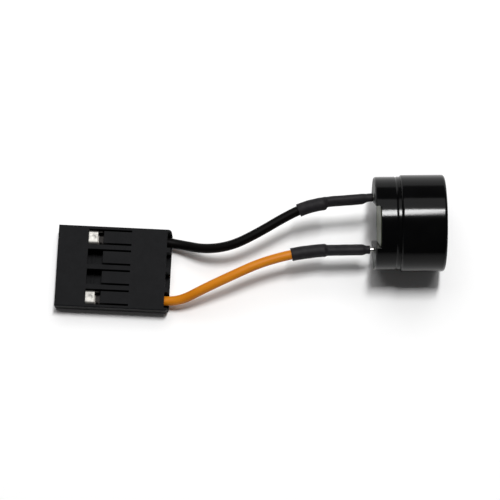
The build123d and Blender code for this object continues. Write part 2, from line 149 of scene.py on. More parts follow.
class Graph(Nodes):
    """A material's node tree."""

    # Dot products of two normals where a mask starts and where it ends.
    edge_bend: Pair = (0.90, 0.995)
    face_bend: Pair = (0.93, 0.99)
    edge_samples: int = 6
    limit_blur: float = 0.05 * MM

    def __init__(self, name: str) -> None:
        """Make an empty material.

        Args:
            name: The material's name.
        """
        self.material = bpy.data.materials.new(name)
        self.material.use_nodes = True
        super().__init__(self.material.node_tree)
        self.tree.nodes.clear()
        self.output = self.add("ShaderNodeOutputMaterial")

    def object_point(self, stretch: Point = (1.0, 1.0, 1.0), turn: float = 0.0) -> Any:
        """Object coordinates, stretched and turned.

        Args:
            stretch: Factor on each axis.
            turn: How far the texture is turned about the upright axis, in radians.

        Returns:
            The vector socket.
        """
        coordinates = self.add("ShaderNodeTexCoord")
        mapping = self.add("ShaderNodeMapping", {
            "Vector": coordinates.outputs["Object"], "Scale": stretch,
            "Rotation": (0.0, 0.0, -turn),
        })
        return mapping.outputs["Vector"]

    def speckle(self, point: Any, grain: float, detail: float = 3.0) -> Any:
        """Noise with features of about one grain.

        Args:
            point: The vector socket that places it.
            grain: Size of a feature, in metres.
            detail: Finer levels to add.

        Returns:
            The factor socket.
        """
        return self.add("ShaderNodeTexNoise", {
            "Vector": point, "Scale": 1.0 / grain, "Detail": detail,
        }).outputs["Fac"]

    def waves(self, point: Any, spacing: float, axis: str, distortion: float, **more: float) -> Any:
        """Even bands across an axis.

        Args:
            point: The vector socket that places them.
            spacing: Distance from band to band, in metres.
            axis: The axis, X, Y or Z.
            distortion: How much they waver.
            more: Other inputs of the texture.

        Returns:
            The factor socket.
        """
        return self.add("ShaderNodeTexWave", {
            "Vector": point, "Scale": WAVE_SPACING / spacing, "Distortion": distortion, **more,
        }, bands_direction=axis).outputs["Fac"]

    def between(self, factor: Any, low: float, high: float,
                start: float = 0.3, end: float = 0.7) -> Any:
        """A number that runs from low to high as a factor runs from start to end.

        Args:
            factor: The factor socket.
            low: Result at the start.
            high: Result at the end.
            start: Factor where the change starts.
            end: Factor where it ends.

        Returns:
            The result socket.
        """
        return self.add("ShaderNodeMapRange", {
            "Value": factor, "From Min": start, "From Max": end, "To Min": low, "To Max": high,
        }).outputs["Result"]

    def blend(self, factor: Any, first: Colour | Any, second: Colour | Any) -> Any:
        """A mix of two colours.

        Args:
            factor: The factor socket.
            first: Colour, or socket, at factor 0.
            second: Colour, or socket, at factor 1.

        Returns:
            The colour socket.
        """
        values = [value if isinstance(value, bpy.types.NodeSocket) else (*value, 1.0)
                  for value in (first, second)]
        return self.mixed(factor, *values, kind="RGBA")

    def relief(self, height: Any, depth: float, normal: Any = None, strength: float = 1.0) -> Any:
        """Small relief on a surface.

        Args:
            height: Height socket, from 0 to 1.
            depth: What a height of 1 is, in metres.
            normal: Normal socket that the relief is added to.
            strength: How much of it shows.

        Returns:
            The normal socket.
        """
        links = {"Height": height, "Distance": depth, "Strength": strength}
        if normal is not None:
            links["Normal"] = normal
        return self.add("ShaderNodeBump", links).outputs["Normal"]

    def dot(self, first: Any, second: Any) -> Any:
        """The dot product of two vectors.

        Args:
            first: The first socket.
            second: The second socket, or a plain vector.

        Returns:
            The result socket.
        """
        return self.add("ShaderNodeVectorMath", {0: first, 1: second},
                        operation="DOT_PRODUCT").outputs["Value"]

    def soft_edge(self, radius: float) -> Any:
        """Normals that round every edge by a radius in metres."""
        node = self.add("ShaderNodeBevel", {"Radius": radius}, samples=self.edge_samples)
        return node.outputs["Normal"]

    def edge_mask(self, radius: float) -> Any:
        """1 within a radius of an edge, 0 elsewhere.

        Args:
            radius: Reach of the edge, in metres.

        Returns:
            The factor socket.
        """
        geometry = self.add("ShaderNodeNewGeometry")
        likeness = self.dot(self.soft_edge(radius), geometry.outputs["Normal"])
        return self.between(likeness, 1.0, 0.0, *self.edge_bend)

    def facing(self, direction: Point) -> Any:
        """1 on faces that look in a direction, 0 elsewhere.

        Args:
            direction: The direction, of length 1.

        Returns:
            The factor socket.
        """
        geometry = self.add("ShaderNodeNewGeometry")
        likeness = self.dot(geometry.outputs["Normal"], direction)
        return self.between(likeness, 0.0, 1.0, *self.face_bend)

    def beyond(self, direction: Point, distance: float) -> Any:
        """1 on what lies farther than a distance along a direction, 0 on what lies nearer.

        Args:
            direction: The direction, of length 1.
            distance: Distance from the origin.

        Returns:
            The factor socket.
        """
        along = self.dot(self.object_point(), direction)
        return self.between(along, 0.0, 1.0, distance - self.limit_blur, distance + self.limit_blur)

    def mixed(self, factor: Any, first: Any, second: Any, kind: str = "FLOAT") -> Any:
        """A mix of two values.

        Args:
            factor: The factor socket.
            first: Value, or socket, at factor 0.
            second: Value, or socket, at factor 1.
            kind: FLOAT for numbers, RGBA for colours.

        Returns:
            The result socket.
        """
        low, high, result = MIX_SOCKETS[kind]
        links = {0: factor, low: first, high: second}
        return self.add("ShaderNodeMix", links, data_type=kind).outputs[result]

    def finish(self, **values: Any) -> bpy.types.Material:
        """Close the tree with one shader.

        Args:
            values: Input name, with _ for a space, to a socket or a plain value.

        Returns:
            The material.
        """
        links = {key.replace("_", " "): value for key, value in values.items()}
        shader = self.add("ShaderNodeBsdfPrincipled", links)
        self.join(shader.outputs["BSDF"], self.output, "Surface")
        return self.material


# --- Finishes ---
@dataclass(frozen=True)
class Finish:
    """What every finish has: a name, and a material that is made once."""

    name: str

    def material(self) -> bpy.types.Material:
        """The finish's material, made the first time that it is asked for."""
        return bpy.data.materials.get(self.name) or self.build()

    def build(self) -> bpy.types.Material:
        """Make the material; each kind of finish has its own."""
        raise NotImplementedError


@dataclass(frozen=True)
class Plastic(Finish):
    """Moulded or extruded plastic with a fine grain and softened edges."""

    colour: Colour
    worn: Colour
    roughness: float
    uneven: float = 0.06
    grain: float = 0.12 * MM
    depth: float = 0.004 * MM
    edge: float = 0.05 * MM
    shine: float = 0.5
    refraction: float = 1.5
    stretch: Point = (1.0, 1.0, 1.0)
    cloud_grains: float = 14
    inside: float = 0.0
    inside_reach: float = 0.2 * MM
    # On faces that look along dull_face, the lands that stand out farthest get their own roughness
    # and a lighter colour, which is a painted reflection of the bright floor.
    dull_face: Point | None = None
    dull_roughness: float = 1.0
    land_until: float = 0.0
    land_roughness: float = 0.45
    painted_land_sheen: Colour = (0.02, 0.02, 0.02)

    def build(self) -> bpy.types.Material:
        """Make the plastic: two tones, an uneven gloss and a grain."""
        graph = Graph(self.name)
        point = graph.object_point(self.stretch)
        clouds = graph.speckle(point, self.cloud_grains * self.grain)
        fine = graph.speckle(point, self.grain, detail=2.0)
        colour = graph.blend(graph.between(clouds, 0.0, 1.0), self.colour, self.worn)
        rough = graph.between(fine, self.roughness - self.uneven, self.roughness + self.uneven)
        if self.dull_face is not None:
            dull = graph.facing(self.dull_face)
            # Mask of the lands on those faces; the lighter colour given to them below is a painted
            # reflection of the floor.
            land_faces = graph.beyond(self.dull_face, -self.land_until)
            dull_rough = graph.mixed(land_faces, self.dull_roughness, self.land_roughness)
            rough = graph.mixed(dull, rough, dull_rough)
            colour = graph.blend(dull, colour, graph.blend(land_faces, self.colour, self.painted_land_sheen))
        normal = graph.relief(fine, self.depth, graph.soft_edge(self.edge))
        return graph.finish(Base_Color=colour, Roughness=rough, Normal=normal,
                            IOR=self.refraction, Specular_IOR_Level=self.shine,
                            Subsurface_Weight=self.inside, Subsurface_Scale=self.inside_reach)


@dataclass(frozen=True)
class PlatedStrip(Finish):
    """Plated strip, with rolling lines and bare warm edges, and painted shade past a place along X.
    """

    bright: Colour = (0.50, 0.49, 0.46)
    dull: Colour = (0.36, 0.35, 0.33)
    bare: Colour = (0.48, 0.31, 0.17)
    roughness: float = 0.24
    smoother: float = 0.04
    rougher: float = 0.07
    edge: float = 0.05 * MM
    bare_share: float = 0.8
    turn: float = 0.0
    painted_shade_from: float | None = None
    painted_shade: Colour = (0.030, 0.028, 0.027)
    line_stretch: Point = (0.06, 1.0, 1.0)
    line_grain: float = 0.05 * MM
    line_depth: float = 0.003 * MM
    cloud: float = 0.7 * MM
    cloud_limits: Pair = (0.35, 0.65)

    def build(self) -> bpy.types.Material:
        """Make the metal: stretched lines, cloudy tin and an edge of another colour."""
        graph = Graph(self.name)
        along = graph.object_point(self.line_stretch, self.turn)
        lines = graph.speckle(along, self.line_grain, detail=4.0)
        clouds = graph.speckle(graph.object_point(), self.cloud)
        cloudy = graph.between(clouds, 0.0, 1.0, *self.cloud_limits)
        tin = graph.blend(cloudy, self.bright, self.dull)
        mask = graph.between(graph.edge_mask(self.edge), 0.0, self.bare_share, 0.0, 1.0)
        colour = graph.blend(mask, tin, self.bare)
        # Past that place along X the metal is painted dark: painted shade inside the housing.
        if self.painted_shade_from is not None:
            past = graph.beyond((1.0, 0.0, 0.0), self.painted_shade_from)
            colour = graph.blend(past, colour, self.painted_shade)
        rough = graph.between(lines, self.roughness - self.smoother, self.roughness + self.rougher)
        normal = graph.relief(lines, self.line_depth, graph.soft_edge(self.edge))
        return graph.finish(Base_Color=colour, Metallic=1.0, Roughness=rough, Normal=normal)


@dataclass(frozen=True)
class SolderFinish(Finish):
    """Solder: bright, slightly lumpy, with duller frosted places."""

    bright: Colour = (0.84, 0.84, 0.85)
    frosted: Colour = (0.52, 0.52, 0.53)
    roughness: Pair = (0.18, 0.42)
    frost_limits: Pair = (0.4, 0.7)
    lump: float = 0.35 * MM
    lump_depth: float = 0.05 * MM
    frost: float = 0.06 * MM
    frost_depth: float = 0.004 * MM

    def build(self) -> bpy.types.Material:
        """Make the solder."""
        graph = Graph(self.name)
        point = graph.object_point()
        lumps = graph.speckle(point, self.lump)
        frost = graph.speckle(point, self.frost)
        dulled = graph.between(lumps, 0.0, 1.0, *self.frost_limits)
        colour = graph.blend(dulled, self.bright, self.frosted)
        rough = graph.between(lumps, *self.roughness)
        normal = graph.relief(frost, self.frost_depth, graph.relief(lumps, self.lump_depth))
        return graph.finish(Base_Color=colour, Metallic=1.0, Roughness=rough, Normal=normal)


@dataclass(frozen=True)
class ShrinkFinish(Finish):
    """Shrunk sleeve: matte, with fine rings where it drew in."""

    colour: Colour = (0.009, 0.008, 0.010)
    pale: Colour = (0.016, 0.0145, 0.016)
    roughness: Pair = (0.52, 0.70)
    ring_pitch: float = 0.16 * MM
    ring_stray: float = 2.5
    ring_strength: float = 0.5
    cloud: float = 0.6 * MM
    grain: float = 0.05 * MM
    depth: float = 0.004 * MM
    shine: float = 0.18

    def build(self) -> bpy.types.Material:
        """Make the sleeve's surface from its own length attribute."""
        graph = Graph(self.name)
        point = graph.object_point()
        clouds = graph.speckle(point, self.cloud)
        fine = graph.speckle(point, self.grain, detail=2.0)
        along = graph.add("ShaderNodeAttribute", attribute_name=LENGTH_ATTRIBUTE).outputs["Fac"]
        wobble = graph.maths("MULTIPLY_ADD", clouds, self.ring_stray * self.ring_pitch, along)
        turns = graph.maths("MULTIPLY", wobble, 2 * math.pi / self.ring_pitch)
        rings = graph.maths("SINE", turns)
        colour = graph.blend(graph.between(clouds, 0.0, 1.0), self.colour, self.pale)
        rough = graph.between(fine, *self.roughness)
        height = graph.between(rings, 0.0, 1.0, -1.0, 1.0)
        normal = graph.relief(height, self.depth, strength=self.ring_strength)
        normal = graph.relief(fine, self.depth, normal)
        return graph.finish(Base_Color=colour, Roughness=rough, Normal=normal,
                            Specular_IOR_Level=self.shine)


@dataclass(frozen=True)
class Winding(Finish):
    """Enamelled copper wound in even turns."""

    copper: Colour = (0.70, 0.27, 0.09)
    shade: Colour = (0.33, 0.10, 0.03)
    wire: float = 0.09 * MM
    groove: float = 0.03 * MM
    waver: float = 0.4
    cloud: float = 0.5 * MM
    roughness: Pair = (0.22, 0.36)
    lacquer: float = 0.6

    def build(self) -> bpy.types.Material:
        """Make the winding: one dark line between each two turns."""
        graph = Graph(self.name)
        point = graph.object_point(turn=BUZZER_TURN)
        bands = graph.waves(point, self.wire, "X", self.waver, Detail=1.0)
        tone = graph.speckle(point, self.cloud)
        colour = graph.blend(bands, self.shade, self.copper)
        return graph.finish(Base_Color=colour, Metallic=1.0, Coat_Weight=self.lacquer,
                            Roughness=graph.between(tone, *self.roughness),
                            Normal=graph.relief(bands, self.groove))


@dataclass(frozen=True)
class Laminate(Finish):
    """Circuit board: resin over a plain weave."""

    resin: Colour = (0.10, 0.17, 0.05)
    fibre: Colour = (0.22, 0.28, 0.12)
    thread: float = 0.35 * MM
    thread_depth: float = 0.01 * MM
    waver: float = 1.0
    cloud: float = 0.3 * MM
    roughness: Pair = (0.3, 0.45)

    def build(self) -> bpy.types.Material:
        """Make the board: threads both ways below a clear resin."""
        graph = Graph(self.name)
        point = graph.object_point(turn=BUZZER_TURN)
        threads = [graph.waves(point, self.thread, axis, self.waver) for axis in ("Y", "Z")]
        weave = graph.maths("MULTIPLY", *threads)
        colour = graph.blend(weave, self.resin, self.fibre)
        rough = graph.between(graph.speckle(point, self.cloud), *self.roughness)
        return graph.finish(Base_Color=colour, Roughness=rough,
                            Normal=graph.relief(weave, self.thread_depth))


@dataclass(frozen=True)
class Backdrop(Finish):
    """Pale plain floor."""

    colour: Colour = (0.98, 0.98, 0.98)
    shade: Colour = (1.0, 1.0, 1.0)
    cloud: float = 20 * MM
    roughness: float = 0.9
    shine: float = 0.1

    def build(self) -> bpy.types.Material:
        """Make the floor's paper."""
        graph = Graph(self.name)
        point = graph.object_point()
        clouds = graph.speckle(point, self.cloud)
        return graph.finish(Base_Color=graph.blend(clouds, self.colour, self.shade),
                            Roughness=self.roughness, Specular_IOR_Level=self.shine)


# Along the lead's length its grain is drawn out.
DRAWN = (0.35, 1.0, 1.0)
HOUSING_PLASTIC = Plastic(
    "housing_plastic_dressed", (0.0034, 0.0035, 0.0042), (0.0052, 0.0053, 0.0062), 0.70,
    grain=0.07 * MM, depth=0.0035 * MM, edge=0.07 * MM, shine=0.14)
# The buzzer's pin-end lands carry a painted reflection: a lighter colour on them.
CASE_PLASTIC = Plastic(
    "case_plastic_dressed", (0.0014, 0.0014, 0.0015), (0.0022, 0.0022, 0.0024), 0.12,
    uneven=0.02, grain=0.16 * MM, depth=0.0008 * MM, edge=0.05 * MM, shine=0.10,
    dull_face=(-math.cos(BUZZER_TURN), -math.sin(BUZZER_TURN), 0.0), land_until=15.6 * MM)
BLACK_INSULATION = Plastic(
    "black_insulation_dressed", (0.0014, 0.0010, 0.0011), (0.0024, 0.0019, 0.0019), 0.46,
    grain=0.09 * MM, depth=0.0025 * MM, edge=0.04 * MM, stretch=DRAWN, shine=0.08)
ORANGE_INSULATION = Plastic(
    "orange_insulation_dressed", (0.55, 0.172, 0.0045), (0.61, 0.207, 0.009), 0.44,
    grain=0.09 * MM, depth=0.0025 * MM, edge=0.04 * MM, stretch=DRAWN, shine=0.18, inside=0.05)
RESIN = Plastic(
    "resin_dressed", (0.20, 0.21, 0.15), (0.13, 0.14, 0.10), 0.45,
    grain=0.25 * MM, depth=0.01 * MM, shine=0.15)
FERRITE = Plastic(
    "ferrite_dressed", (0.028, 0.027, 0.027), (0.050, 0.048, 0.046), 0.6,
    grain=0.1 * MM, depth=0.006 * MM, edge=0.06 * MM)
# The contacts' rear, past the place given, is painted dark as shade inside the housing.
CONTACT_TIN = PlatedStrip("contact_tin", roughness=0.58, painted_shade_from=-19.2 * MM)
PIN_TIN = PlatedStrip("pin_tin", bare_share=0.0, turn=BUZZER_TURN)
STRAND_TIN = PlatedStrip("strand_tin", bare_share=0.0, roughness=0.3)
PLATED_IRON = PlatedStrip(
    "plated_iron_dressed", (0.66, 0.67, 0.69), (0.50, 0.51, 0.53), bare_share=0.0,
    roughness=0.36, turn=BUZZER_TURN)
SPRING_METAL = PlatedStrip(
    "spring_metal_dressed", (0.76, 0.77, 0.79), (0.62, 0.63, 0.66), bare_share=0.0,
    roughness=0.26, turn=BUZZER_TURN)
SOLDER = SolderFinish("solder_dressed")
SHRINK = ShrinkFinish("shrink_sleeve_dressed")
WINDING = Winding("coil_winding_dressed")
LAMINATE = Laminate("board_dressed")


def dress(node: bpy.types.Object, finish: Finish) -> None:
    """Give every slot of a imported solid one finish.

    Args:
        node: The solid's object.
        finish: Its new finish.
    """
    for slot in node.material_slots:
        slot.material = finish.material()
    log.info("dressed %s with %s", node.name, finish.name)


def piece_from(mesh: bpy.types.Mesh, name: str,
               replaced: Sequence[str]) -> bpy.types.Object:
    """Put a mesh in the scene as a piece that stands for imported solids.

    Args:
        mesh: The mesh, in the row frame.
        name: The piece's name.
        replaced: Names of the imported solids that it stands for.

    Returns:
        The piece.
    """
    mesh.name = name
    piece = bpy.data.objects.new(name, mesh)
    bpy.context.scene.collection.objects.link(piece)
    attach(piece, "root")
    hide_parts(*replaced)
    log.info("made %s, %d faces", name, len(mesh.polygons))
    return piece


# --- Places ---
@dataclass(frozen=True)
class Layout:
    """Where the working frame and the buzzer lie in the row frame."""

    origin: Vector
    buzzer_ahead: float = 25.05 * MM
    buzzer_aside: float = 6.45 * MM
    buzzer_height: float = 6.0 * MM
    buzzer_turn: float = BUZZER_TURN
    buzzer_roll: float = math.radians(16.0)

    @classmethod
    def read(cls) -> Layout:
        """Find the working frame from the housing's box."""
        low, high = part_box("connector_housing")
        return cls(Vector((high[0], (low[1] + high[1]) / 2, 0.0)))

    def point(self, x: float, y: float, z: float) -> Vector:
        """A point of the working frame, in the row frame."""
        return self.origin + Vector((x, y, z))

    def buzzer(self) -> Matrix:
        """From the buzzer's own frame, along its axis from the pins, to the row frame."""
        middle = self.point(self.buzzer_ahead, self.buzzer_aside, self.buzzer_height)
        turned = Matrix.Rotation(self.buzzer_turn, 4, "Z")
        return Matrix.Translation(middle) @ turned @ Matrix.Rotation(self.buzzer_roll, 4, "X")


@dataclass(frozen=True)
class PinLine:
    """The leaning stretch of one terminal pin, outside the buzzer."""

    side: Side
    pitch: float = 6.5 * MM
    straight: float = 0.2 * MM
    lean_black: float = math.radians(4.5)
    lean_orange: float = math.radians(-0.5)
    lap_turn: float = math.radians(14.0)

    def frame(self, layout: Layout, along: float) -> tuple[Vector, Vector, Vector]:
        """Where the pin is at a length from its bend.

        Args:
            layout: Where things lie.
            along: Length from the bend, away from the buzzer.

        Returns:
            The point, the direction away from the buzzer, and the direction from the conductor
            to the pin.
        """
        lean = self.lean_black if self.side is Side.BLACK else self.lean_orange
        outwards = Vector((-math.cos(lean), -self.side.value * math.sin(lean), 0.0))
        local = Vector((-self.straight, self.side.value * self.pitch / 2, 0.0)) + outwards * along
        turn = layout.buzzer_roll + self.side.value * self.lap_turn
        upwards = Vector((0.0, math.sin(turn), math.cos(turn)))
        upwards -= outwards * upwards.dot(outwards)
        matrix = layout.buzzer()
        rotation = matrix.to_3x3()
        return matrix @ local, (rotation @ outwards).normalized(), (rotation @ upwards).normalized()


# --- Leads ---
class TreeBuilder(Nodes):
    """A geometry node tree with named inputs."""

    def __init__(self, name: str, inputs: Iterable[tuple[str, str]]) -> None:
        """Make the tree.

        Args:
            name: The tree's name.
            inputs: Name and socket type of each input after the geometry.
        """
        super().__init__(bpy.data.node_groups.new(name, "GeometryNodeTree"))
        interface = self.tree.interface
        interface.new_socket("Geometry", in_out="INPUT", socket_type="NodeSocketGeometry")
        interface.new_socket("Geometry", in_out="OUTPUT", socket_type="NodeSocketGeometry")
        self.keys = {label: interface.new_socket(label, in_out="INPUT", socket_type=kind).identifier
                     for label, kind in inputs}
        self.entry = self.tree.nodes.new("NodeGroupInput")
        self.exit = self.tree.nodes.new("NodeGroupOutput")

    def given(self, label: str) -> Any:
        """The socket of a named input."""
        return self.entry.outputs[label]

    def run(self, target: bpy.types.Object, values: dict[str, Any]) -> bpy.types.Mesh:
        """Run the tree on an object and take the result as a plain mesh.

        Args:
            target: The object that carries the geometry.
            values: Input name to value.

        Returns:
            The mesh.
        """
        modifier = target.modifiers.new("build", "NODES")
        modifier.node_group = self.tree
        for label, value in values.items():
            modifier[self.keys[label]] = value
        mesh = evaluated_mesh(target)
        target.modifiers.remove(modifier)
        return mesh


def evaluated_mesh(target: bpy.types.Object) -> bpy.types.Mesh:
    """An object's evaluated shape as a new mesh."""
    bpy.context.view_layer.update()
    graph = bpy.context.evaluated_depsgraph_get()
    return bpy.data.meshes.new_from_object(target.evaluated_get(graph), depsgraph=graph)


WIRE_STEP = 0.12 * MM
JACKET_SIDES = 40
OUTER_STRANDS = 6
STRAND_SIDES = 12
# Length of each strand end that lies inside the insulation.
STRAND_HIDDEN = 0.3 * MM
# A trim node's inputs for lengths, by number: its inputs for shares have the same names.
TRIM_START, TRIM_END = 4, 5


def wire_tree() -> TreeBuilder:
    """The tree that makes an insulated wire with stripped, stranded ends along a curve."""
    made = TreeBuilder("stripped_wire", [
        ("Insulation radius", "NodeSocketFloat"), ("Strand radius", "NodeSocketFloat"),
        ("Strand lay", "NodeSocketFloat"), ("Front strip", "NodeSocketFloat"),
        ("Rear strip", "NodeSocketFloat"), ("Insulation", "NodeSocketMaterial"),
        ("Strands", "NodeSocketMaterial"),
    ])
    front, radius = made.given("Front strip"), made.given("Strand radius")
    source = made.add("GeometryNodeResampleCurve", {
        "Curve": made.given("Geometry"), "Length": WIRE_STEP,
    }, mode="LENGTH").outputs["Curve"]
    length = made.add("GeometryNodeCurveLength", {"Curve": source}).outputs["Length"]
    rear = made.maths("SUBTRACT", length, made.given("Rear strip"))

    def cut(start: Any, end: Any) -> Any:
        """The stretch of the wire between two lengths."""
        links = {"Curve": source, TRIM_START: start, TRIM_END: end}
        return made.add("GeometryNodeTrimCurve", links, mode="LENGTH").outputs["Curve"]

    def circle(sides: int, size: Any) -> Any:
        """A round profile."""
        node = made.add("GeometryNodeCurvePrimitiveCircle", {"Resolution": sides, "Radius": size},
                        mode="RADIUS")
        return node.outputs["Curve"]

    def swept(line: Any, profile: Any) -> Any:
        """A profile drawn along a line, with its ends closed."""
        return made.add("GeometryNodeCurveToMesh", {
            "Curve": line, "Profile Curve": profile, "Fill Caps": True,
        }).outputs["Mesh"]

    def joined(*shapes: Any) -> Any:
        """Several shapes as one."""
        node = made.add("GeometryNodeJoinGeometry")
        for shape in shapes:
            made.join(shape, node, "Geometry")
        return node.outputs["Geometry"]

    def coloured(geometry: Any, label: str) -> Any:
        """A shape with the material of a named input."""
        return made.add("GeometryNodeSetMaterial", {
            "Geometry": geometry, "Material": made.given(label),
        }).outputs["Geometry"]

    jacket = swept(cut(front, rear), circle(JACKET_SIDES, made.given("Insulation radius")))
    jacket = coloured(jacket, "Insulation")

    ring = made.add("GeometryNodeMeshCircle", {
        "Vertices": OUTER_STRANDS, "Radius": made.maths("MULTIPLY", radius, 2.0),
    }).outputs["Mesh"]
    centre = made.add("GeometryNodeMeshLine", {"Count": 1}).outputs["Mesh"]
    bundle = made.add("GeometryNodeInstanceOnPoints", {
        "Points": joined(ring, centre), "Instance": circle(STRAND_SIDES, radius),
    }).outputs["Instances"]
    bundle = made.add("GeometryNodeRealizeInstances", {"Geometry": bundle}).outputs["Geometry"]
    parameter = made.add("GeometryNodeSplineParameter").outputs["Length"]
    turns = made.maths("DIVIDE", parameter, made.given("Strand lay"))
    twist = made.maths("MULTIPLY", turns, 2 * math.pi)
    ends = []
    for start, end in ((0.0, made.maths("ADD", front, STRAND_HIDDEN)),
                       (made.maths("SUBTRACT", rear, STRAND_HIDDEN), length)):
        laid = made.add("GeometryNodeSetCurveTilt", {"Curve": cut(start, end), "Tilt": twist})
        ends.append(swept(laid.outputs["Curve"], bundle))
    whole = joined(jacket, coloured(joined(*ends), "Strands"))
    smooth = made.add("GeometryNodeSetShadeSmooth", {"Geometry": whole})
    made.join(smooth.outputs["Geometry"], made.exit, "Geometry")
    return made


@dataclass
class Lead:
    """One lead, from the contact's crimp to the solder on the pin."""

    side: Side
    layout: Layout
    finish: Finish
    diameter: float = 1.2 * MM
    strand_radius: float = 0.063 * MM
    strand_lay: float = 4.0 * MM
    front_strip: float = 2.9 * MM
    rear_strip: float = 4.6 * MM
    way_offset: float = 3.81 * MM
    way_height: float = 1.27 * MM
    spline_order: int = 3
    spline_steps: int = 16
    points: list[Point] = field(default_factory=list)
    path: list[Vector] = field(default_factory=list)

    def route(self) -> bpy.types.Object:
        """The lead's line: a smooth spline with the route's points as its control points.

        Returns:
            A curve object with no thickness.
        """
        curve = bpy.data.curves.new(f"route_{self.side.word}", "CURVE")
        curve.dimensions = "3D"
        curve.resolution_u = self.spline_steps
        spline = curve.splines.new("NURBS")
        spline.points.add(len(self.points) - 1)
        for control, point in zip(spline.points, self.points):
            control.co = (*self.layout.point(*point), 1.0)
        spline.order_u = self.spline_order
        spline.use_endpoint_u = True
        line = bpy.data.objects.new(curve.name, curve)
        bpy.context.scene.collection.objects.link(line)
        return line

    def build(self, tree: TreeBuilder) -> bpy.types.Object:
        """Args:
            tree: The tree that makes the wire along a curve.

        Returns:
            The piece.
        """
        line = self.route()
        bare = evaluated_mesh(line)
        self.path = [vertex.co.copy() for vertex in bare.vertices]
        mesh = tree.run(line, {
            "Insulation radius": self.diameter / 2, "Strand radius": self.strand_radius,
            "Strand lay": self.strand_lay, "Front strip": self.front_strip,
            "Rear strip": self.rear_strip, "Insulation": self.finish.material(),
            "Strands": STRAND_TIN.material(),
        })
        bpy.data.objects.remove(line)
        word = self.side.word
        piece = piece_from(mesh, f"lead_{word}",
                           [f"lead_{word}_insulation", f"lead_{word}_conductor"])
        leaving = self.layout.point(0.0, self.side.value * self.way_offset, self.way_height)
        return piece

    def length(self) -> float:
        """Length of the lead's line."""
        return sum((b - a).length for a, b in zip(self.path, self.path[1:]))

    def at(self, distance: float) -> tuple[Vector, Vector]:
        """A place on the lead's line.

        Args:
            distance: Length from the contact's end.

        Returns:
            The point and the direction towards the buzzer.
        """
        left = distance
        for a, b in zip(self.path, self.path[1:]):
            run = (b - a).length
            if left <= run:
                return a.lerp(b, left / run), (b - a).normalized()
            left -= run
        return self.path[-1], (self.path[-1] - self.path[-2]).normalized()


BLACK_ROUTE: list[Point] = [
    (-0.0074, 0.00381, 0.001265), (-0.0042, 0.00381, 0.00127), (-0.0011, 0.00380, 0.00128),
    (0.001503, 0.00338, 0.00160), (0.004384, 0.00273, 0.00310), (0.00764, 0.00313, 0.00430),
    (0.010897, 0.00485, 0.00500), (0.013903, 0.00677, 0.00550), (0.016283, 0.00803, 0.00590),
    (0.018657, 0.008639, 0.006269), (0.020044, 0.008824, 0.006309), (0.023414, 0.009267, 0.006373),
]
ORANGE_ROUTE: list[Point] = [
    (-0.0074, -0.00381, 0.001265), (-0.0042, -0.00381, 0.00127), (-0.0011, -0.00380, 0.00128),
    (0.001503, -0.00373, 0.00190), (0.004384, -0.00229, 0.00340), (0.00764, -0.00071, 0.00430),
    (0.010897, 0.00092, 0.00470), (0.013903, 0.00198, 0.00475), (0.016283, 0.00259, 0.00475),
    (0.018931, 0.003051, 0.004595), (0.020328, 0.003139, 0.004608), (0.023721, 0.003359, 0.004606),
]


# --- Shrunk sleeves ---
# Least distance that a step is divided by.
TINY = 1e-9


@dataclass(frozen=True)
class Station:
    """One cross-section of a sleeve: an oval with its long half along up."""

    centre: Vector
    onwards: Vector
    up: Vector
    upright: float
    across: float


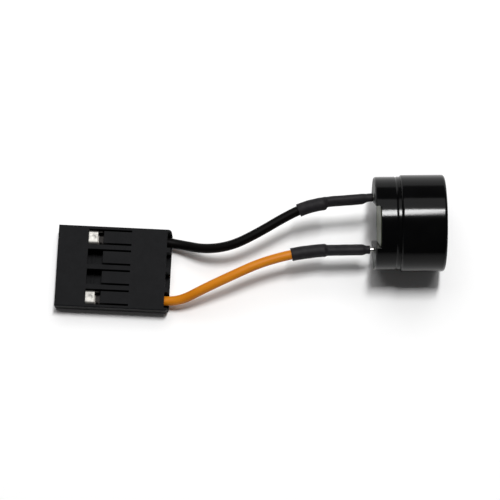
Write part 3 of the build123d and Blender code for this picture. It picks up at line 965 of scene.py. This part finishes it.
@dataclass
class ShrinkSleeve:
    """A sleeve shrunk over the soldered pin and the lead's end."""

    side: Side
    layout: Layout
    lead: Lead
    start: float
    thick: float
    cover: float
    wall: float = 0.2 * MM
    room: float = 0.02 * MM
    pin_radius: float = 0.3 * MM
    core_radius: float = 0.19 * MM
    lap_drop: float = 0.51 * MM
    taper: float = 0.7 * MM
    joint_start: float = 1.3 * MM
    joint_end: float = 5.5 * MM
    sides: int = 48
    step: float = 0.08 * MM
    wrinkle: float = 0.018 * MM
    wrinkle_around: float = 0.9
    wrinkle_along: float = 1.1
    wrinkle_shift: float = 7
    rim: tuple[float, ...] = (1.0, 0.6, 0.2)
    lead_sections: int = 6
    inner_stride: int = 3

    def stations(self) -> list[Station]:
        """The sleeve's main cross-sections, from the buzzer to the lead."""
        pin = PinLine(self.side)
        grow = self.room + self.wall
        wide = self.pin_radius + self.cover
        high = (wide + self.lap_drop + self.core_radius + self.cover) / 2
        made: list[Station] = []
        taper_start = self.joint_start - self.taper
        for along in (self.start, (self.start + taper_start) / 2, taper_start):
            centre, onwards, up = pin.frame(self.layout, along)
            over = self.pin_radius + grow
            made.append(Station(centre, onwards, up, over, over))
        for along in (self.joint_start, (self.joint_start + self.joint_end) / 2, self.joint_end):
            centre, onwards, up = pin.frame(self.layout, along)
            made.append(Station(centre - up * (high - wide), onwards, up, high + grow, wide + grow))
        up = made[-1].up
        jacket_end = self.lead.length() - self.lead.rear_strip
        over = self.lead.diameter / 2 + grow
        for number in range(self.lead_sections):
            share = number / (self.lead_sections - 1)
            centre, onwards = self.lead.at(jacket_end - self.thick * share)
            made.append(Station(centre, -onwards, up, over, over))
        return made

    def between(self, stations: Sequence[Station]) -> list[Station]:
        """Fill in sections a step apart with smooth curves between the main ones.

        Args:
            stations: The main sections.

        Returns:
            All the sections.
        """
        filled: list[Station] = []
        last = len(stations) - 1
        for index in range(last):
            near = [stations[max(0, min(last, index + offset))] for offset in (-1, 0, 1, 2)]
            gap = (near[2].centre - near[1].centre).length
            count = max(1, round(gap / self.step))
            for number in range(count):
                t = number / count
                ease = t * t * (3 - 2 * t)
                centre = self.curve([s.centre for s in near], t)
                onwards = near[1].onwards.lerp(near[2].onwards, t).normalized()
                filled.append(Station(centre, onwards, near[1].up,
                                      near[1].upright + (near[2].upright - near[1].upright) * ease,
                                      near[1].across + (near[2].across - near[1].across) * ease))
        filled.append(stations[-1])
        return filled

    @staticmethod
    def curve(points: Sequence[Vector], t: float) -> Vector:
        """A point on the smooth curve through four points, between the middle two.

        Args:
            points: Four points in a row.
            t: Share of the way from the second to the third.

        Returns:
            The point.
        """
        a, b, c, d = points
        chord = (c - b).length
        start = (c - a) * (chord / max((c - a).length, TINY))
        end = (d - b) * (chord / max((d - b).length, TINY))
        t2, t3 = t * t, t * t * t
        ease = 3 * t2 - 2 * t3
        return b * (1 - ease) + start * (t3 - 2 * t2 + t) + c * ease + end * (t3 - t2)

    def ring(self, mesh: bmesh.types.BMesh, station: Station, along: float, shrink: float,
             ripple: float) -> list[bmesh.types.BMVert]:
        """Add one ring of vertices.

        Args:
            mesh: The mesh that it goes into.
            station: The section.
            along: Length of the section from the sleeve's start.
            shrink: How much smaller than the section the ring is.
            ripple: Largest wrinkle.

        Returns:
            The ring's vertices.
        """
        across = station.up.cross(station.onwards).normalized()
        upright = station.onwards.cross(across).normalized()
        made = []
        for number in range(self.sides):
            angle = 2 * math.pi * number / self.sides
            direction = across * math.cos(angle) * (station.across - shrink)
            direction += upright * math.sin(angle) * (station.upright - shrink)
            place = station.centre + direction
            seed = Vector((
                math.cos(angle) * self.wrinkle_around, math.sin(angle) * self.wrinkle_around,
                along / MM * self.wrinkle_along + self.wrinkle_shift * self.side.value,
            ))
            lift = noise.noise(seed) * ripple
            made.append(mesh.verts.new(place + direction.normalized() * lift))
        return made

    def build(self) -> bpy.types.Object:
        """Make the sleeve: a tube with rounded rims and a wall inside.

        Returns:
            The piece.
        """
        sections = self.between(self.stations())
        lengths = [0.0]
        for a, b in zip(sections, sections[1:]):
            lengths.append(lengths[-1] + (b.centre - a.centre).length)
        mesh = bmesh.new()
        layer = mesh.verts.layers.float.new(LENGTH_ATTRIBUTE)
        first, last = [[(sections[end], lengths[end], self.wall * share, 0.0) for share in self.rim]
                       for end in (0, -1)]
        outer = [(section, length, 0.0, self.wrinkle) for section, length in zip(sections, lengths)]
        inner = [(section, length, self.wall, 0.0) for section, length in zip(sections, lengths)]
        inner = inner[-self.inner_stride - 1:self.inner_stride:-self.inner_stride]
        rings = []
        for section, length, shrink, ripple in first + outer + last[::-1] + inner:
            ring = self.ring(mesh, section, length, shrink, ripple)
            for vertex in ring:
                vertex[layer] = length
            rings.append(ring)
        for near, far in zip(rings, rings[1:] + rings[:1]):
            for number in range(self.sides):
                after = (number + 1) % self.sides
                face = mesh.faces.new((near[number], near[after], far[after], far[number]))
                face.smooth = True
        bmesh.ops.recalc_face_normals(mesh, faces=mesh.faces)
        word = self.side.word
        made = bpy.data.meshes.new(f"sleeve_{word}")
        mesh.to_mesh(made)
        mesh.free()
        made.materials.append(SHRINK.material())
        return piece_from(made, f"sleeve_{word}", [f"shrink_sleeve_{word}"])


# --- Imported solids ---
@dataclass
class Connector:
    """The crimp housing and its two contacts, dressed as they are."""

    nodes: dict[str, bpy.types.Object]

    def build(self) -> None:
        """Dress the housing and the contacts."""
        dress(self.nodes["connector_housing"], HOUSING_PLASTIC)
        for side in Side:
            dress(self.nodes[f"crimp_contact_{side.word}"], CONTACT_TIN)


@dataclass
class Buzzer:
    """The buzzer's case, magnetic drive and terminals."""

    nodes: dict[str, bpy.types.Object]

    def build(self) -> None:
        """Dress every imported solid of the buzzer."""
        finishes: dict[str, Finish] = {
            "buzzer_base": CASE_PLASTIC, "buzzer_cap": CASE_PLASTIC, "terminal_board": LAMINATE,
            "yoke_plate": PLATED_IRON, "pole_core": PLATED_IRON, "armature_disc": PLATED_IRON,
            "coil": WINDING, "ring_magnet": FERRITE, "diaphragm": SPRING_METAL, "resin_seal": RESIN,
        }
        for side in Side:
            finishes[f"terminal_pin_{side.word}"] = PIN_TIN
            finishes[f"lap_joint_{side.word}"] = SOLDER
            finishes[f"board_joint_{side.word}"] = SOLDER
            finishes[f"coil_tail_{side.word}"] = WINDING
        for name, finish in finishes.items():
            dress(self.nodes[name], finish)


# --- Studio ---
@dataclass
class Studio:
    """Floor, light and camera."""

    layout: Layout
    target: Point = (9.85 * MM, 3.49 * MM, 0.0)
    camera_place: Point = (12.22 * MM, -46.06 * MM, 271.48 * MM)
    lens: float = 157.15
    sensor: float = 36.0
    lamp_distance: float = 0.6
    key_lean: float = math.radians(15.3)
    key_aside: float = math.radians(4.5)
    key_size: Pair = (0.048, 0.14)
    key_power: float = 2.4
    soft_lean: float = math.radians(29.0)
    soft_aside: float = math.radians(-2.0)
    soft_size: Pair = (0.58, 0.46)
    soft_power: float = 1.9
    fill: float = 0.055
    far_side: float = 0.12
    far_edge: Pair = (0.75, 1.0)
    backdrop_edge: Pair = (0.0, 0.05)
    clip: Pair = (0.01, 20.0)
    floor_reach: float = 3.0
    floor_drop: float = 0.005 * MM

    def camera(self) -> None:
        """Make the camera at its viewing angle."""
        data = bpy.data.cameras.new("camera")
        data.lens = self.lens
        data.sensor_width = self.sensor
        data.clip_start, data.clip_end = self.clip
        eye = bpy.data.objects.new("camera", data)
        bpy.context.scene.collection.objects.link(eye)
        place = self.layout.point(*self.camera_place)
        eye.location = place
        sight = self.layout.point(*self.target) - place
        eye.rotation_euler = sight.to_track_quat("-Z", "Y").to_euler()
        bpy.context.scene.camera = eye

    def lamp(self, name: str, lean: float, aside: float, size: Pair,
             power: float) -> None:
        """Make a rectangular lamp that faces the part.

        Args:
            name: The lamp's name.
            lean: How far it stands behind the part, from straight above.
            aside: How far it stands to the buzzer's side.
            size: Its width and depth.
            power: Its power, in watts.
        """
        data = bpy.data.lights.new(name, "AREA")
        data.shape = "RECTANGLE"
        data.size, data.size_y = size
        data.energy = power
        lamp = bpy.data.objects.new(name, data)
        bpy.context.scene.collection.objects.link(lamp)
        away = Vector((math.sin(aside), math.sin(lean), math.cos(lean))).normalized()
        lamp.location = self.layout.point(*self.target) + away * self.lamp_distance
        lamp.rotation_euler = (-away).to_track_quat("-Z", "Y").to_euler()

    def light(self) -> None:
        """Make the key lamp and the wide soft lamp, both above and behind the part."""
        self.lamp("key", self.key_lean, self.key_aside, self.key_size, self.key_power)
        self.lamp("soft", self.soft_lean, self.soft_aside, self.soft_size, self.soft_power)

    def surroundings(self) -> None:
        """A dim room, paler beyond the lamp, with a white backdrop near the horizon."""
        world = bpy.data.worlds.new("studio")
        bpy.context.scene.world = world
        world.use_nodes = True
        graph = Nodes(world.node_tree)
        graph.tree.nodes.clear()

        def ramp(value: Any, edge: Pair, first: float, last: float) -> Any:
            """A smooth run from one number to another between an edge's two values."""
            return graph.add("ShaderNodeMapRange", {
                "Value": value, "From Min": edge[0], "From Max": edge[1],
                "To Min": first, "To Max": last,
            }, interpolation_type="SMOOTHSTEP").outputs["Result"]

        direction = graph.add("ShaderNodeTexCoord").outputs["Generated"]
        split = graph.add("ShaderNodeSeparateXYZ", {"Vector": direction}).outputs
        white = (1.0, 1.0, 1.0, 1.0)
        strength = ramp(split["Y"], self.far_edge, self.fill, self.far_side)
        room = graph.add("ShaderNodeBackground", {"Color": white, "Strength": strength})
        backdrop = graph.add("ShaderNodeBackground", {"Color": white})
        rays = graph.add("ShaderNodeLightPath").outputs
        seen = graph.maths("MAXIMUM", rays["Is Glossy Ray"], rays["Is Transmission Ray"])
        seen = graph.maths("MAXIMUM", seen, rays["Is Camera Ray"])
        low = ramp(split["Z"], self.backdrop_edge, 1.0, 0.0)
        mix = graph.add("ShaderNodeMixShader", {
            "Fac": graph.maths("MULTIPLY", seen, low), 1: room.outputs["Background"],
            2: backdrop.outputs["Background"],
        })
        graph.add("ShaderNodeOutputWorld", {"Surface": mix.outputs["Shader"]})

    def floor(self) -> None:
        """Make the pale floor just below the part."""
        mesh = bpy.data.meshes.new("floor")
        corners = [(x * self.floor_reach, y * self.floor_reach, -self.floor_drop)
                   for x, y in ((-1, -1), (1, -1), (1, 1), (-1, 1))]
        mesh.from_pydata(corners, [], [(0, 1, 2, 3)])
        mesh.materials.append(Backdrop("floor_paper").material())
        ground = bpy.data.objects.new("floor", mesh)
        bpy.context.scene.collection.objects.link(ground)

    def build(self) -> None:
        """Set the scene round the part."""
        bpy.context.scene.view_settings.view_transform = "Standard"
        self.camera()
        self.light()
        self.surroundings()
        self.floor()


def main() -> None:
    """Load the frame, dress it, and make the leads, the sleeves and the studio."""
    logging.basicConfig(level=logging.INFO, format="%(message)s")
    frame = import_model()
    layout = Layout.read()
    Studio(layout).build()

    tree = wire_tree()
    leads = {
        Side.BLACK: Lead(Side.BLACK, layout, BLACK_INSULATION, points=BLACK_ROUTE),
        Side.ORANGE: Lead(Side.ORANGE, layout, ORANGE_INSULATION, points=ORANGE_ROUTE),
    }
    for lead in leads.values():
        lead.build(tree)
    ShrinkSleeve(Side.BLACK, layout, leads[Side.BLACK], start=-0.13 * MM, thick=3.35 * MM,
                 cover=0.10 * MM).build()
    ShrinkSleeve(Side.ORANGE, layout, leads[Side.ORANGE], start=0.25 * MM, thick=4.15 * MM,
                 cover=0.17 * MM).build()
    Connector(frame["nodes"]).build()
    Buzzer(frame["nodes"]).build()


if __name__ == "__main__":
    main()
